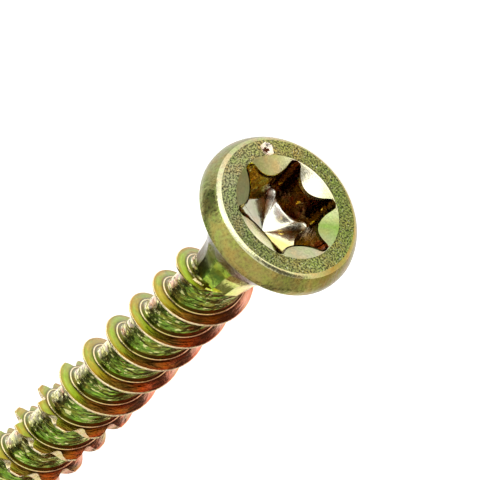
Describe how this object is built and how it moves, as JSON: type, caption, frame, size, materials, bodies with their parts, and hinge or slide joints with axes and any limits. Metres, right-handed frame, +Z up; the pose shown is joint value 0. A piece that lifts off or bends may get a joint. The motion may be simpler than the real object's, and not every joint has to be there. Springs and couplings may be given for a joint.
{
  "type": "construction screw",
  "caption": "Coarse-threaded construction screw with a wide low round head, star recess, twin right-handed thread notched towards the point, and a sharp point.",
  "frame": {"origin": "on the surface the screw lies on, under the middle of its bounding box", "axes": "+X along the screw towards its head (the screw's own axis rises 4.1 degrees that way), +Z up"},
  "size_m": [0.052, 0.012, 0.0119],
  "materials": {
    "screw": "zinc plated with a yellow iridescent passivation, satin"
  },
  "bodies": {
    "root": {"screw": "screw"}
  },
  "joints": []
}
